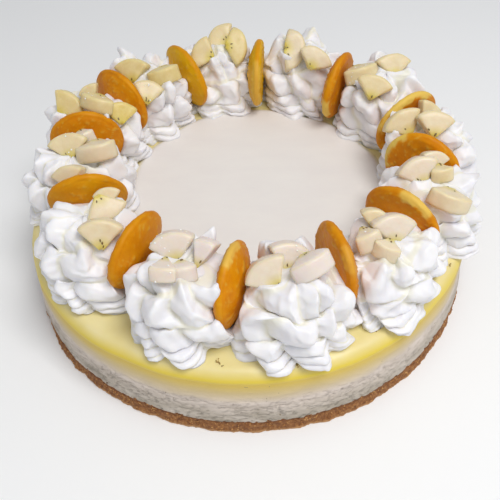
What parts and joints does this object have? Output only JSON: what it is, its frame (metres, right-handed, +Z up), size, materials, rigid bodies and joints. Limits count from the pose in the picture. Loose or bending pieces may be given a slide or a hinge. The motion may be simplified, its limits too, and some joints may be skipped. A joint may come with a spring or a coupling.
{
  "type": "banana pudding cheesecake",
  "caption": "Round uncut cheesecake on a crumb crust, topped with yellow pudding, a ring of piped cream swirls, upright round wafers and banana chunks.",
  "frame": {"origin": "centre of the crust's flat underside", "axes": "+Z up, -Y towards the front of the cake as pictured"},
  "size_m": [0.2364, 0.2311, 0.0892],
  "materials": {
    "crumb_crust": "baked golden-brown biscuit crumbs, rough",
    "baked_cheese": "off-white baked cheesecake, matte with small pits",
    "pudding": "yellow set pudding, soft satin",
    "spread_cream": "ivory cream spread smooth",
    "piped_cream": "white whipped cream, soft satin",
    "wafer": "baked golden-brown wafer, dry with a faint sheen",
    "banana": "cut banana flesh, moist"
  },
  "bodies": {
    "root": {"banana_01_a": "banana", "banana_01_b": "banana", "banana_01_c": "banana", "banana_02_a": "banana", "banana_02_b": "banana", "banana_03_a": "banana", "banana_03_b": "banana", "banana_03_c": "banana", "banana_04_a": "banana", "banana_04_b": "banana", "banana_04_c": "banana", "banana_05_a": "banana", "banana_05_b": "banana", "banana_05_c": "banana", "banana_06_a": "banana", "banana_06_b": "banana", "banana_06_c": "banana", "banana_07_a": "banana", "banana_07_b": "banana", "banana_08_a": "banana", "banana_08_b": "banana", "banana_08_c": "banana", "banana_09_a": "banana", "banana_09_b": "banana", "banana_09_c": "banana", "banana_10_a": "banana", "banana_10_b": "banana", "banana_11_a": "banana", "banana_11_b": "banana", "banana_12_a": "banana", "banana_12_b": "banana", "banana_12_c": "banana", "cheesecake": "baked_cheese", "cream_disc": "spread_cream", "crust": "crumb_crust", "pudding": "pudding", "swirl_01": "piped_cream", "swirl_02": "piped_cream", "swirl_03": "piped_cream", "swirl_04": "piped_cream", "swirl_05": "piped_cream", "swirl_06": "piped_cream", "swirl_07": "piped_cream", "swirl_08": "piped_cream", "swirl_09": "piped_cream", "swirl_10": "piped_cream", "swirl_11": "piped_cream", "swirl_12": "piped_cream", "wafer_01": "wafer", "wafer_02": "wafer", "wafer_03": "wafer", "wafer_04": "wafer", "wafer_05": "wafer", "wafer_06": "wafer", "wafer_07": "wafer", "wafer_08": "wafer", "wafer_09": "wafer", "wafer_10": "wafer", "wafer_11": "wafer", "wafer_12": "wafer"}
  },
  "joints": []
}
